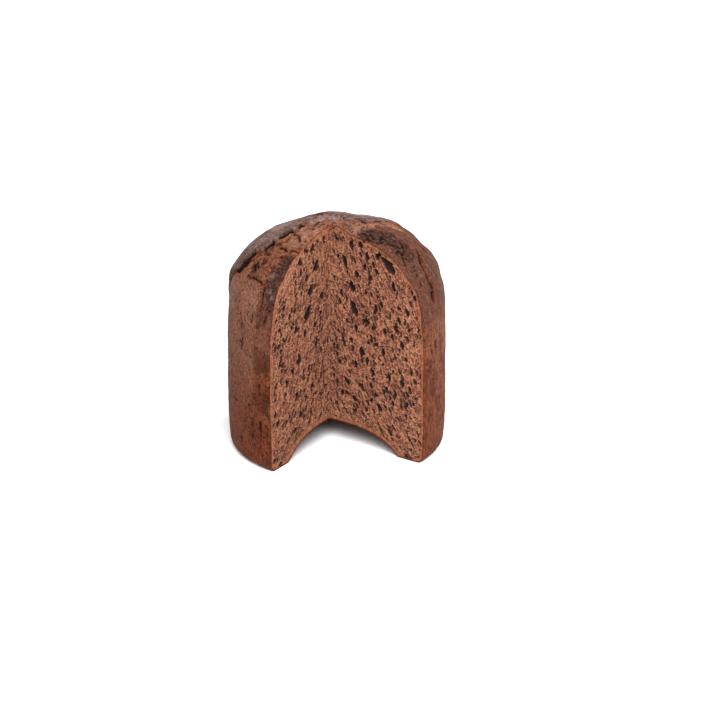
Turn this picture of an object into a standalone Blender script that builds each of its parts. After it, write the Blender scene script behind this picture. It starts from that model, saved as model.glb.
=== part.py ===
"""Chocolate panettone with a quarter cut out, as one solid, in metres with +Z up.

The origin is the middle of the base. The quarter that is missing lies towards +X and -Y,
so one cut face stands in the plane X = CUT_X and the other in the plane Y = CUT_Y.
"""
import math
import random

import bmesh
import bpy
from mathutils import Matrix, Vector, noise

MM = 0.001

# The loaf before it was cut
RADIUS = 0.085
SHOULDER = 1.40 * RADIUS
HEIGHT = 2.15 * RADIUS
CROWN_ROUNDNESS = 1.9
CROWN_FULLNESS = 2.4
BARREL = 1.2 * MM

# The base stands on a flat ring and arches up inside it
BASE_ARCH = 17.0 * MM
BASE_ARCH_REACH = 62.0 * MM
BASE_ARCH_POWER = 3.6
BASE_CORNER = 6.0 * MM

# The two cuts meet a little in front of the axis
CUT_X = -3.7 * MM
CUT_Y = -4.7 * MM

# Rows and steps of the turned loaf
STEPS = 96
CROWN_ROWS = 15
WALL_ROWS = 11
CORNER_ROWS = 2
ARCH_ROWS = 5
ARCH_CROWDING = 0.8
SHARP_ANGLE = 35.0

# Where the relief of the crown starts and is whole, and where it ends above the base
CROWN_START = 0.78 * SHOULDER
CROWN_WHOLE = 1.12 * SHOULDER
BASE_CALM = 0.12 * SHOULDER

# Relief of the crust
SWELL = 0.9 * MM
SWELL_SCALE = 45.0 * MM
LUMP = 1.6 * MM
LUMP_SCALE = 26.0 * MM
KNOB = 0.9 * MM
KNOB_SCALE = 11.0 * MM
CUT_SAG = 2.4 * MM
CUT_SAG_ANGLE = 24.0
CUT_ANGLES = (-92.0, -3.0)
PLATE_RISE = 2.2 * MM
PLATE_FADE = 26.0 * MM
PLATE_HIGH_ANGLE = -140.0
PLATE_HIGH_SPREAD = 55.0
PLATE_LOW_SHARE = 0.35
SPLIT_DEPTH = 2.6 * MM
SPLIT_WIDTH = 3.2 * MM

# The edge of the grey plate of crust that the rising dough tore off the crown,
# as angles in degrees and distances from the axis in millimetres
PLATE_EDGE = (
    (-153, 84.5), (-143, 82.0), (-133, 76.5), (-134, 67.0), (-127, 56.0), (-133, 43.0),
    (-140, 30.0), (-178, 28.0), (150, 30.0), (105, 15.0), (66, 13.0), (50, 28.0),
    (66, 46.0), (66, 60.0), (78, 76.0), (84, 84.0),
)
# Places that close the plate's outline round the back of the loaf
PLATE_BACK = ((84, 120.0), (130, 120.0), (180, 120.0), (-153, 120.0))

# Folds, dents and mounds: an angle, a distance from the axis, a spread and a depth in mm
DENTS = (
    (-121.3, 71.5, 6.0, 1.6), (-104.0, 76.0, 5.0, 1.4), (9.6, 82.4, 4.5, 1.2),
    (41.0, 66.5, 4.5, 1.0), (126.0, 30.0, 17.0, -1.2), (49.8, 30.0, 7.0, -1.0),
    (68.0, 54.0, 8.0, -1.0), (7.0, 34.0, 9.0, 1.6), (-150.0, 58.0, 22.0, -1.4),
    (62.0, 65.0, 9.0, -1.6), (-146.0, 84.0, 13.0, 1.8),
)
FOLDS = (
    ((20, 60), (17, 70), (13, 78), (9, 83)),
    ((9, 60), (5, 70), (1, 79)),
)
FOLD_DEPTH = 1.8 * MM
FOLD_WIDTH = 3.6 * MM

# Bubbles that the knife opened on both faces: distance from the corner, height, length,
# width in millimetres and lean of the top towards the corner in degrees
BUBBLES = (
    (22.9, 116.8, 16.0, 6.4, 28), (14.4, 154.2, 12.5, 4.6, 18), (24.8, 100.5, 7.5, 3.6, 5),
    (35.3, 108.4, 6.0, 4.4, 30), (29.9, 81.2, 10.0, 5.0, 8), (24.9, 70.0, 7.0, 3.8, 5),
    (35.5, 74.9, 9.0, 3.0, 0), (16.3, 53.7, 9.0, 3.8, 35), (20.8, 134.7, 10.5, 6.0, 15),
    (20.5, 169.0, 9.0, 4.8, 12), (6.5, 172.0, 4.5, 3.6, 0), (25.6, 146.2, 6.5, 5.0, 10),
    (59.6, 143.5, 8.5, 3.8, 3), (54.6, 157.5, 17.0, 7.2, 42), (45.0, 165.0, 6.5, 5.2, -20),
    (35.6, 163.0, 8.0, 4.4, -5), (29.0, 171.0, 6.5, 5.4, 20), (33.5, 154.0, 6.0, 3.4, 0),
    (43.4, 121.8, 7.0, 3.4, 12), (50.4, 86.0, 8.0, 3.6, 5), (40.5, 67.0, 8.0, 3.4, 20),
    (56.1, 66.0, 8.0, 3.6, 10), (68.0, 63.5, 7.0, 3.8, 5), (68.1, 95.8, 8.0, 3.8, 4),
    (73.0, 124.0, 8.0, 3.6, 12), (30.7, 51.5, 9.0, 3.6, 28), (46.7, 38.0, 7.5, 3.6, 20),
    (62.0, 108.0, 6.5, 3.4, 8), (52.0, 103.0, 6.0, 3.2, 10), (12.5, 89.0, 8.0, 3.0, 4),
)
# The face along -Y shows the same bubbles further out, the more so low down
FAR_STRETCH_TOP = 1.08
FAR_STRETCH_GAIN = 0.0032
FAR_STRETCH_FROM = 165.0
FAR_WIDENING = 1.3
BUBBLE_DEPTH = 1.15
BUBBLE_LIFT = 0.17

# Smaller bubbles scattered between them
SMALL_BUBBLES = 26
SMALL_LENGTH = (4.2, 6.4)
SMALL_WIDTH = (2.4, 3.4)
SMALL_CLEARANCE = 1.4
CRUST_MARGIN = 5.0
SEED = 7

CRUST_COLOUR = (0.150, 0.062, 0.034, 1.0)
CRUMB_COLOUR = (0.330, 0.140, 0.072, 1.0)


def crown_height(reach):
    """Height of the plain crown at a distance from the axis."""
    share = min(reach / RADIUS, 1.0) ** CROWN_ROUNDNESS
    return SHOULDER + (HEIGHT - SHOULDER) * (1.0 - share) ** (1.0 / CROWN_FULLNESS)


def wall_reach(height):
    """Distance of the plain loaf's outside from the axis at a height."""
    share = max(height - SHOULDER, 0.0) / (HEIGHT - SHOULDER)
    return RADIUS * (1.0 - min(share, 1.0) ** CROWN_FULLNESS) ** (1.0 / CROWN_ROUNDNESS)


def crown_point(angle, reach_mm):
    """Point on the plain crown at an angle in degrees and a distance in millimetres."""
    turn = math.radians(angle)
    reach = reach_mm * MM
    return Vector((reach * math.cos(turn), reach * math.sin(turn), crown_height(reach)))


def smooth(value, low, high):
    """Rise from 0 to 1 between two values, level at both ends."""
    share = min(max((value - low) / (high - low), 0.0), 1.0)
    return share * share * (3.0 - 2.0 * share)


def bell(distance, width):
    """Fall from 1 at no distance to nearly 0 at twice the width."""
    return math.exp(-((distance / width) ** 2))


def path_distance(point, path):
    """Distance from a point to a path on the crown."""
    best = 1.0
    for start, end in zip(path, path[1:]):
        run = end - start
        share = min(max((point - start).dot(run) / run.length_squared, 0.0), 1.0)
        best = min(best, (point - start - run * share).length)
    return best


def on_plate(point):
    """Whether a point lies within the grey plate's outline, seen from above."""
    places = PLATE_PATH + PLATE_BACK_PATH
    inside = False
    for start, end in zip(places, places[1:] + places[:1]):
        if (start.y > point.y) != (end.y > point.y):
            share = (point.y - start.y) / (end.y - start.y)
            if point.x < start.x + share * (end.x - start.x):
                inside = not inside
    return inside


PLATE_PATH = [crown_point(angle, reach) for angle, reach in PLATE_EDGE]
PLATE_BACK_PATH = [crown_point(angle, reach) for angle, reach in PLATE_BACK]
FOLD_PATHS = [[crown_point(angle, reach) for angle, reach in fold] for fold in FOLDS]
DENT_SPOTS = [(crown_point(a, r), width * MM, depth * MM) for a, r, width, depth in DENTS]


def crust_relief(point):
    """How far the crust stands out of the plain turned loaf at a point on it."""
    on_crown = smooth(point.z, CROWN_START, CROWN_WHOLE)
    off_base = smooth(point.z, 0.0, BASE_CALM)
    out = BARREL * math.sin(math.pi * min(point.z / SHOULDER, 1.0))
    out += SWELL * noise.noise(point / SWELL_SCALE)
    out += LUMP * on_crown * noise.noise(point / LUMP_SCALE + Vector((5.0, 0.0, 0.0)))
    out += KNOB * on_crown * noise.noise(point / KNOB_SCALE)
    angle = math.degrees(math.atan2(point.y, point.x))
    near_cut = max(bell(angle - cut, CUT_SAG_ANGLE) for cut in CUT_ANGLES)
    out -= CUT_SAG * near_cut * on_crown
    edge = path_distance(point, PLATE_PATH)
    if not on_plate(point):
        edge = -edge
    turned = (angle - PLATE_HIGH_ANGLE + 180.0) % 360.0 - 180.0
    rise = PLATE_LOW_SHARE + (1.0 - PLATE_LOW_SHARE) * bell(turned, PLATE_HIGH_SPREAD)
    lip = smooth(edge, -0.2 * SPLIT_WIDTH, 0.8 * SPLIT_WIDTH)
    out += PLATE_RISE * rise * on_crown * lip * bell(edge, PLATE_FADE)
    out -= SPLIT_DEPTH * bell(edge + 0.7 * SPLIT_WIDTH, SPLIT_WIDTH)
    for path in FOLD_PATHS:
        out -= FOLD_DEPTH * bell(path_distance(point, path), FOLD_WIDTH)
    for spot, width, depth in DENT_SPOTS:
        out -= depth * bell((point - spot).length, width)
    return out * off_base


def loaf_profile():
    """Half outline of the plain loaf, from the top of the crown to the middle of the base."""
    points = []
    for row in range(CROWN_ROWS):
        reach = RADIUS * math.sin(0.5 * math.pi * row / CROWN_ROWS)
        points.append((reach, crown_height(reach)))
    for row in range(WALL_ROWS + 1):
        share = row / WALL_ROWS
        points.append((RADIUS, SHOULDER + (BASE_CORNER - SHOULDER) * share))
    for row in range(1, CORNER_ROWS + 1):
        turn = 0.5 * math.pi * row / CORNER_ROWS
        points.append((RADIUS - BASE_CORNER * (1.0 - math.cos(turn)),
                       BASE_CORNER * (1.0 - math.sin(turn))))
    for row in range(ARCH_ROWS + 1):
        reach = BASE_ARCH_REACH * (1.0 - row / ARCH_ROWS) ** ARCH_CROWDING
        rise = BASE_ARCH * (1.0 - (reach / BASE_ARCH_REACH) ** BASE_ARCH_POWER)
        points.append((reach, rise))
    return points


def new_object(name, mesh, collection):
    """Put a mesh into the scene under a name."""
    thing = bpy.data.objects.new(name, mesh)
    collection.objects.link(thing)
    return thing


def new_material(name, colour, roughness):
    """Plain food finish of one colour."""
    material = bpy.data.materials.new(name)
    material.use_nodes = True
    shader = material.node_tree.nodes["Principled BSDF"]
    shader.inputs["Base Color"].default_value = colour
    shader.inputs["Roughness"].default_value = roughness
    shader.inputs["Metallic"].default_value = 0.0
    material.diffuse_color = colour
    return material


def turned_loaf(collection, material):
    """Turn the outline with a Screw, then lift and dent the crust."""
    outline = bpy.data.meshes.new("outline")
    shape = bmesh.new()
    corners = [shape.verts.new((reach, 0.0, height)) for reach, height in loaf_profile()]
    for first, second in zip(corners, corners[1:]):
        shape.edges.new((first, second))
    shape.to_mesh(outline)
    shape.free()
    turned = new_object("outline", outline, collection)
    screw = turned.modifiers.new("turn", "SCREW")
    screw.steps = STEPS
    screw.render_steps = STEPS
    screw.use_merge_vertices = True
    screw.merge_threshold = 0.00005
    bpy.context.view_layer.update()
    evaluated = turned.evaluated_get(bpy.context.evaluated_depsgraph_get())
    mesh = bpy.data.meshes.new_from_object(evaluated)
    bpy.data.objects.remove(turned)
    mesh.name = "panettone"
    for vertex, normal in [(v, v.normal.copy()) for v in mesh.vertices]:
        if vertex.co.z > 0.0 and vertex.co.to_2d().length > 0.9 * BASE_ARCH_REACH \
                or vertex.co.z > SHOULDER:
            vertex.co += normal * crust_relief(vertex.co)
    mesh.shade_smooth()
    mesh.set_sharp_from_angle(angle=math.radians(SHARP_ANGLE))
    mesh.materials.clear()
    mesh.materials.append(material)
    return new_object("panettone", mesh, collection)


def quarter_cutter(collection, material):
    """Box that takes the quarter away."""
    bpy.ops.mesh.primitive_cube_add(size=1.0)
    cutter = bpy.context.object
    cutter.name = "quarter"
    margin = 0.03
    width = RADIUS - CUT_X + margin
    depth = RADIUS + CUT_Y + margin
    tall = HEIGHT + 2.0 * margin
    cutter.data.transform(Matrix.Diagonal((width, depth, tall, 1.0)))
    cutter.data.transform(Matrix.Translation(
        (CUT_X + 0.5 * width, CUT_Y - 0.5 * depth, 0.5 * tall - margin)))
    cutter.data.materials.append(material)
    hide_cutter(cutter, collection)
    return cutter


def hide_cutter(cutter, collection):
    """Keep a cutter out of the renders and in its own collection."""
    for holder in list(cutter.users_collection):
        holder.objects.unlink(cutter)
    collection.objects.link(cutter)
    cutter.hide_render = True
    cutter.display_type = "WIRE"


def scattered_bubbles(big):
    """Small bubbles at seeded places on a face, clear of the big ones and of each other."""
    draw = random.Random(SEED)
    placed = []
    while len(placed) < SMALL_BUBBLES:
        out = draw.uniform(7.0, 74.0)
        up = draw.uniform(30.0, 168.0)
        length = draw.uniform(*SMALL_LENGTH)
        width = draw.uniform(*SMALL_WIDTH)
        lean = draw.uniform(0.0, 25.0)
        clear = all(math.hypot(out - b[0], up - b[1]) > SMALL_CLEARANCE + 0.5 * (length + b[2])
                    for b in big + placed)
        if clear and fits((out, up, length, width, lean)):
            placed.append((out, up, length, width, lean))
    return placed


def fits(bubble):
    """Whether a bubble keeps clear of the crust that edges the cut face."""
    out, up, length, width, lean = bubble
    swing = abs(math.sin(math.radians(lean)))
    outer = out + 0.5 * length * swing + 0.5 * width + CRUST_MARGIN
    upper = up + 0.4 * length
    return outer * MM - CUT_Y < wall_reach(upper * MM) and upper < HEIGHT / MM - CRUST_MARGIN


def stretched(bubble):
    """The same bubble as the face along -Y shows it."""
    out, up, length, width, lean = bubble
    gain = FAR_STRETCH_TOP + FAR_STRETCH_GAIN * (FAR_STRETCH_FROM - up)
    return (out * gain, up, length, width * FAR_WIDENING, lean)


def bubble_cutter(collection, material):
    """All the opened bubbles as one cutter: stretched balls across both cut planes."""
    shape = bmesh.new()
    draw = random.Random(SEED + 1)
    big = list(BUBBLES)
    near = big + scattered_bubbles(big)
    far_big = [stretched(bubble) for bubble in BUBBLES]
    far = [bubble for bubble in far_big if fits(bubble)]
    far += scattered_bubbles(far_big)
    faces = (
        (near, Vector((1.0, 0.0, 0.0)), Vector((0.0, -1.0, 0.0))),
        (far, Vector((0.0, -1.0, 0.0)), Vector((1.0, 0.0, 0.0))),
    )
    corner = Vector((CUT_X, CUT_Y, 0.0))
    for bubbles, along, outward in faces:
        for out, up, length, width, lean in bubbles:
            tilt = math.radians(lean)
            upward = Vector((0.0, 0.0, 1.0))
            long_axis = upward * math.cos(tilt) - along * math.sin(tilt)
            wide_axis = outward.cross(long_axis)
            axes = Matrix((
                wide_axis * 0.5 * width * MM,
                outward * 0.5 * BUBBLE_DEPTH * width * MM,
                long_axis * 0.5 * length * MM,
            )).transposed()
            twist = Matrix.Rotation(draw.uniform(0.2, 1.2), 3, Vector((0.3, 0.5, 0.8)))
            centre = corner + along * out * MM + upward * up * MM
            centre += outward * BUBBLE_LIFT * 0.5 * width * MM
            place = Matrix.Translation(centre) @ (axes @ twist).to_4x4()
            fineness = 2 if length > SMALL_LENGTH[1] else 1
            bmesh.ops.create_icosphere(shape, subdivisions=fineness, radius=1.0, matrix=place)
    bmesh.ops.recalc_face_normals(shape, faces=shape.faces)
    mesh = bpy.data.meshes.new("bubbles")
    shape.to_mesh(mesh)
    shape.free()
    mesh.materials.append(material)
    cutter = bpy.data.objects.new("bubbles", mesh)
    collection.objects.link(cutter)
    hide_cutter(cutter, collection)
    return cutter


def cut_away(thing, cutter, name):
    """Take one cutter out of the loaf, with the crumb's colour on the new faces."""
    cut = thing.modifiers.new(name, "BOOLEAN")
    cut.operation = "DIFFERENCE"
    cut.solver = "EXACT"
    cut.material_mode = "TRANSFER"
    cut.object = cutter


def main():
    for thing in list(bpy.data.objects):
        bpy.data.objects.remove(thing)
    parts = bpy.data.collections.new("panettone")
    cutters = bpy.data.collections.new("cutters")
    bpy.context.scene.collection.children.link(parts)
    bpy.context.scene.collection.children.link(cutters)
    crust = new_material("crust", CRUST_COLOUR, 0.7)
    crumb = new_material("crumb", CRUMB_COLOUR, 0.85)
    loaf = turned_loaf(parts, crust)
    cut_away(loaf, quarter_cutter(cutters, crumb), "quarter")
    cut_away(loaf, bubble_cutter(cutters, crumb), "bubbles")


main()
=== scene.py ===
"""Chocolate panettone with a quarter cut out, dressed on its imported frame.

Metres, +Z up. The origin is the middle of the base, and the missing quarter lies towards
+X and -Y: the near cut face runs along +X, the far one along -Y.
"""
import math
import random

import bmesh
import bpy
import numpy as np
from mathutils import Matrix, Vector, noise
from mathutils.kdtree import KDTree


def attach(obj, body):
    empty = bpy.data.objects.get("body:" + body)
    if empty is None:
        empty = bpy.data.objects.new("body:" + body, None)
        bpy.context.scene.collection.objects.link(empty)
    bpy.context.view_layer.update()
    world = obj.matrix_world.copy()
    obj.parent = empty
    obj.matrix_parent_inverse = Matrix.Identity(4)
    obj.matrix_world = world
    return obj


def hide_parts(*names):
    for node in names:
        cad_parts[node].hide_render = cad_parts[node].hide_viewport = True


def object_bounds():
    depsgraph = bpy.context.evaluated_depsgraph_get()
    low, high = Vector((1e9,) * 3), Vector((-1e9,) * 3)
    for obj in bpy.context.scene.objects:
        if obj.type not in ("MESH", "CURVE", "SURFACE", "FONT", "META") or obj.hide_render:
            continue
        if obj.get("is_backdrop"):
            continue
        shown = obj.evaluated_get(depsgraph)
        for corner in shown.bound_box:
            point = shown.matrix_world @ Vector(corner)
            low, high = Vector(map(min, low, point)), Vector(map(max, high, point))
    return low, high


bl_info = {
    "name": "Cut Panettone",
    "version": (1, 0, 0),
    "blender": (4, 5, 0),
    "location": "View3D > Sidebar > Panettone",
    "description": "Builds the crust and the crumb of a tall sweet bread with a quarter cut out",
    "category": "Object",
}

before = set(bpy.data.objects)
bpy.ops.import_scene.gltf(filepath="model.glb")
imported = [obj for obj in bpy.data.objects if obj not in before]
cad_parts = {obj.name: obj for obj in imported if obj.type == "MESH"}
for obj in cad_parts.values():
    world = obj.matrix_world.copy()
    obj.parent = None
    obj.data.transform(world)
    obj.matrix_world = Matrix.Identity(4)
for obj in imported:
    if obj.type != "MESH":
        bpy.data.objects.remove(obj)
CAD_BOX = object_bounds()
NODE = "panettone"
MM = 0.001

# The loaf as its solid has it
RADIUS = 85.0 * MM
SHOULDER = 1.40 * RADIUS
HEIGHT = 2.15 * RADIUS
CROWN_ROUNDNESS = 1.9
CROWN_FULLNESS = 2.4
BARREL = 1.2 * MM
BASE_ARCH = 17.0 * MM
BASE_ARCH_REACH = 62.0 * MM
BASE_ARCH_POWER = 3.6
BASE_CORNER = 6.0 * MM
CUT = Vector((-3.7 * MM, -4.7 * MM, 0.0))
CUT_TURN = math.radians(270.0)
CORNER_BLEND = 30.0 * MM
CROWN_START = 0.78 * SHOULDER
CROWN_WHOLE = 1.12 * SHOULDER
BASE_CALM = 0.12 * SHOULDER
# Ways along the two cut faces from their corner, and into the loaf behind them
ALONG_NEAR = (1.0, 0.0, 0.0)
ALONG_FAR = (0.0, -1.0, 0.0)
INTO_NEAR = (0.0, 1.0, 0.0)
INTO_FAR = (-1.0, 0.0, 0.0)
SAME_PLACE = 1e-6

# Rows of the crust, and how much closer they stand at the cut faces
CRUST_STEPS = 400
END_CROWDING = 0.42
CROWN_ROWS = 138
WALL_ROWS = 62
CORNER_ROWS = 7
ARCH_ROWS = 22

# Relief of the crust, as the solid has it
SWELL = 0.9 * MM
SWELL_SCALE = 45.0 * MM
LUMP = 1.6 * MM
LUMP_SCALE = 26.0 * MM
KNOB = 0.9 * MM
KNOB_SCALE = 11.0 * MM
CUT_SAG = 2.4 * MM
CUT_SAG_ANGLE = 24.0
CUT_ANGLES = (-92.0, -3.0)
PLATE_RISE = 2.2 * MM
PLATE_FADE = 26.0 * MM
PLATE_BORDER = 7.0 * MM
BORDER_MIDDLE = 2.0 * MM
PLATE_HIGH_ANGLE = -140.0
PLATE_HIGH_SPREAD = 55.0
PLATE_LOW_SHARE = 0.35
SPLIT_DEPTH = 3.4 * MM
SPLIT_WIDTH = 1.3 * MM
FOLD_DEPTH = 1.8 * MM
FOLD_WIDTH = 3.0 * MM

# Noise of the crust: size of its lumps in millimetres, and which part of the noise it is
GRAINS = {
    "coarse": (6.0, 3.0), "middle": (2.6, 8.0), "grit": (1.3, 17.0), "gape": (7.0, 21.0),
    "pit": (2.4, 11.0), "knots": (4.6, 1.0), "crease": (6.5, 51.0), "pore": (1.9, 31.0),
    "speck": (1.7, 27.0),
}
LUMP_SHIFT = (5.0, 0.0, 0.0)
# Upright wrinkles of the wall: size, part of the noise, and how much longer than wide
WRINKLE = (2.4, 41.0, 0.30)
# Raggedness of the plate's edge, and how far its lip takes to rise, in millimetres
EDGE_RAGGED = (1.1, 0.8)
LIP = (-0.3 * MM, 1.6 * MM)
# How far the split gapes: everywhere, by its noise, and at least and at most
GAPE = 0.22
GAPE_GRAIN = 0.35
GAPE_LIMITS = (0.08, 1.0)
# Depths of the finer relief in millimetres
MARK_DEPTH = 0.9
PIT_DEPTH = 2.2
SCORCH_RIPPLE = 0.5
WRINKLE_DEPTH = 0.28
WALL_LUMP = 0.25
PORE_DEPTH = 0.55
KNOT_DEPTH = 0.5
KNOT_GAIN = 1.1

# The edge of the grey plate that the rising dough tore off the crown,
# as angles in degrees and distances from the axis in millimetres
PLATE_EDGE = (
    (-153, 84.5), (-143, 82.0), (-133, 76.5), (-134, 67.0), (-127, 56.0), (-133, 43.0),
    (-140, 30.0), (-178, 28.0), (150, 30.0), (105, 15.0), (66, 13.0), (50, 28.0),
    (66, 46.0), (66, 60.0), (78, 76.0), (84, 84.0),
)
# Places that close the plate's outline round the back of the loaf
PLATE_BACK = ((84, 120.0), (130, 120.0), (180, 120.0), (-153, 120.0))
# Dents and mounds: an angle, a distance from the axis, a spread and a depth in mm
DENTS = (
    (-121.3, 71.5, 6.0, 1.6), (-104.0, 76.0, 5.0, 1.4), (9.6, 82.4, 4.5, 1.2),
    (41.0, 66.5, 4.5, 0.2), (126.0, 30.0, 17.0, -1.2), (49.8, 30.0, 7.0, -1.0),
    (68.0, 54.0, 8.0, -1.0), (7.0, 34.0, 9.0, 1.6), (-150.0, 58.0, 22.0, -1.4),
    (62.0, 65.0, 9.0, -1.6), (-146.0, 84.0, 13.0, 1.8), (160.0, 31.0, 3.0, 1.2),
    (151.5, 40.0, 3.5, 1.6), (146.5, 49.0, 4.0, 1.6),
)
FOLDS = (
    ((20, 60), (17, 70), (13, 78), (9, 83)),
    ((9, 60), (5, 70), (1, 79)),
)
# Places where the split along the plate gapes: angle, distance, spread and share
GAPS = (
    (-131, 73.5, 8.0, 1.0), (-133, 40.5, 5.0, 1.0), (-137, 63.0, 3.0, 0.3),
    (-128, 54.0, 4.0, 0.25), (-152, 29.0, 4.0, 0.8), (-146, 83.0, 6.0, 0.5),
)
# Narrow clefts of the crown: their paths, half width and depth in millimetres
CLEFTS = (
    (((-118, 74.0), (-116, 75), (-109, 75), (-104, 76.5), (-101.5, 80.5), (-101, 84)), 0.8, 1.3),
    (((-122, 75.5), (-119, 76), (-116, 75)), 1.0, 1.6),
    (((-117, 50), (-112, 48), (-108, 49)), 1.1, 1.5),
    (((-104, 48), (-99, 46.5), (-94, 47)), 1.0, 1.3),
    (((-128, 35), (-118, 33), (-108, 36)), 0.9, 1.0),
    (((-138, 34.5), (-133, 35), (-129, 32)), 1.2, 1.8),
    (((-130, 50), (-125, 51.5), (-121.5, 54.5)), 0.9, 0.9),
    (((-128, 58), (-123, 58.5), (-118.5, 59.5)), 0.9, 0.9),
    (((43, 62), (41, 66.5), (37, 70)), 1.3, 0.9),
    (((29, 50), (16, 56), (6, 60), (2, 65)), 1.0, 1.6),
    (((30, 62.7), (21, 67), (16.5, 71), (13.2, 79), (13.4, 82)), 1.0, 1.3),
    (((12.8, 82.9), (11.2, 84.2)), 1.7, 2.8),
    (((106, 12), (98, 17), (92, 21)), 0.9, 1.2),
    (((72, 17), (62, 21), (48, 24)), 1.1, 1.4),
    (((150, 9), (-170, 15), (-150, 17)), 0.8, 0.9),
)
# Red-brown dough beside a cleft: its strength, and its width over the cleft's
CLEFT_TEAR = 0.5
CLEFT_TEAR_WIDTH = 2.3
# Hollow with a rough floor beside the split: angle, distance, spread and depth in mm
HOLLOW = (-121.4, 70.2, 4.9, 0.7)
# Middles of the dark pitted patch and of the smooth dark grey one beside the far face
SCORCHED = ((9, 31), (18, 40), (19, 50), (13, 57))
SCORCH_REACH = (8.0, 12.0)
DARK_GREY_PATCH = ((-93, 55), (-97, 63), (-98.5, 70), (-97.0, 76.5), (-94.0, 80.5))
DARK_GREY_REACH = (4.5, 7.8)
# Painted highlights on the dark grey patch: angle, distance from the axis and spread in mm
PATCH_HIGHLIGHTS = ((-101.9, 69.5, 2.6), (-98.5, 77.6, 2.4), (-92.9, 73.7, 2.0), (-95.0, 79.5, 1.8))
# Grey cap round the very top
CAP = ((-178, 22), (150, 20), (122, 16))
CAP_REACH = (3.5, 8.0)
# Middle of the tan ridge of torn dough on the right
TAN_RIDGE = ((39, 25), (46, 32), (54, 40), (54, 47), (52, 52))
RIDGE_REACH = (2.4, 5.4)
# Bare brown crown at the right: its middle angle, and where it begins
BARE_ANGLE = 40.0
BARE_REACH = (18.0 * MM, 32.0 * MM)
# The very top, whose dough is paler and more knotted
TOP_REACH = (0.42 * RADIUS, 0.64 * RADIUS)
# Smooth brown mound of the wall's top under the torn dough: its middle, where its sides
# fade in degrees from there, and where it ends on the crown
MOUND_ANGLE = -126.0
MOUND_LEFT = (-66.0, -24.0)
MOUND_RIGHT = (20.0, 25.8)
MOUND_REACH = (73.0 * MM, 76.0 * MM)
# Short upright creases and pits of the wall: angle, height, half length and half width in mm
MARKS = (
    (-106.5, 124.4, 3.2, 0.9), (-97.2, 126.2, 2.8, 1.0), (-101.8, 120.4, 1.4, 1.1),
    (-116.3, 122.3, 1.8, 0.9), (-114.1, 102.0, 5.0, 1.0), (-99.5, 68.0, 4.5, 0.8),
    (-99.3, 35.0, 5.5, 1.1), (-95.3, 34.5, 4.0, 1.0), (-105.4, 37.5, 3.5, 1.0),
    (-108.2, 82.1, 1.3, 1.2), (-108.6, 50.3, 1.3, 1.2), (-116.3, 18.3, 3.0, 0.8),
    (-105.2, 26.5, 1.2, 1.1), (-115.1, 116.0, 3.0, 1.0), (8.0, 96.0, 3.0, 0.8),
    (15.0, 70.0, 2.0, 0.9), (120.0, 88.0, 4.0, 0.9), (-178.0, 60.0, 3.5, 0.9),
    (158.0, 105.0, 4.0, 1.0), (70.0, 52.0, 3.0, 0.9), (95.0, 110.0, 3.5, 0.9),
)
# Darker baked places of the wall: angle, height and spread in mm
STAINS = (
    (-98.0, 92.0, 14.0), (-99.5, 58.0, 12.0), (-105.3, 131.0, 9.0), (-104.0, 30.0, 12.0),
    (-115.0, 113.0, 8.0), (110.0, 70.0, 20.0), (165.0, 40.0, 22.0),
)

# What the material knows at each point of the crust and of the crumb
CRUST_FINISHES = ("plate", "border", "split", "tear", "torn", "knots", "cleft", "scorch", "pit",
                  "sooty", "smear", "hollow", "speck", "crown", "mound", "top", "stain", "rim")
# In the crumb, dark marks painted shade in its open cells and bubbles
CRUMB_FINISHES = ("dark", "red", "web", "edge")

# The cut edge of the crust, and the tray behind it that the crumb fills
RIM = 0.9 * MM
TRAY = 8.5 * MM
TRAY_TAPER = 3.0 * MM

# The crumb's grid and how far it reaches past the corner and under the rim
GRID = 0.42 * MM
CRUMB_WIDTH = 90.0
CRUMB_TALL = 188.0
PAST_CORNER = 6.0
CORNER_POINTS = 19
UNDER_RIM = 0.25
CRUMB_SINK = 0.12
CRUMB_THICK = 8.0
CRUMB_TAPER = 0.06
CRUMB_CENTRE = (30.0, 85.0)
# Dense crumb beside the crust: how far it reaches, and how much of the relief it keeps
DENSE_EDGE = 4.5
DENSE_FROM = 1.2
DENSE_RELIEF = 0.12
HIGHEST_STRAND = 0.25

# Bubbles that the knife opened on both faces: distance from the corner, height, length,
# width in millimetres and lean of the top towards the corner in degrees
BUBBLES = (
    (22.9, 116.8, 16.0, 6.4, 28), (14.4, 154.2, 12.5, 4.6, 18), (24.8, 100.5, 7.5, 3.6, 5),
    (35.3, 108.4, 6.0, 4.4, 30), (29.9, 81.2, 10.0, 5.0, 8), (24.9, 70.0, 7.0, 3.8, 5),
    (35.5, 74.9, 9.0, 3.0, 0), (16.3, 53.7, 9.0, 3.8, 35), (20.8, 134.7, 10.5, 6.0, 15),
    (20.5, 169.0, 9.0, 4.8, 12), (6.5, 172.0, 4.5, 3.6, 0), (25.6, 146.2, 6.5, 5.0, 10),
    (59.6, 143.5, 8.5, 3.8, 3), (55.4, 159.2, 17.0, 8.4, 43), (45.0, 165.0, 6.5, 5.2, -20),
    (35.6, 163.0, 8.0, 4.4, -5), (29.0, 171.0, 6.5, 5.4, 20), (33.5, 154.0, 6.0, 3.4, 0),
    (43.4, 121.8, 7.0, 3.4, 12), (50.4, 86.0, 8.0, 3.6, 5), (40.5, 67.0, 8.0, 3.4, 20),
    (56.1, 66.0, 8.0, 3.6, 10), (68.0, 63.5, 7.0, 3.8, 5), (68.1, 95.8, 8.0, 3.8, 4),
    (73.0, 124.0, 8.0, 3.6, 12), (30.7, 51.5, 9.0, 3.6, 28), (46.7, 38.0, 7.5, 3.6, 20),
    (62.0, 108.0, 6.5, 3.4, 8), (52.0, 103.0, 6.0, 3.2, 10), (12.5, 89.0, 8.0, 3.0, 4),
)
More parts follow.
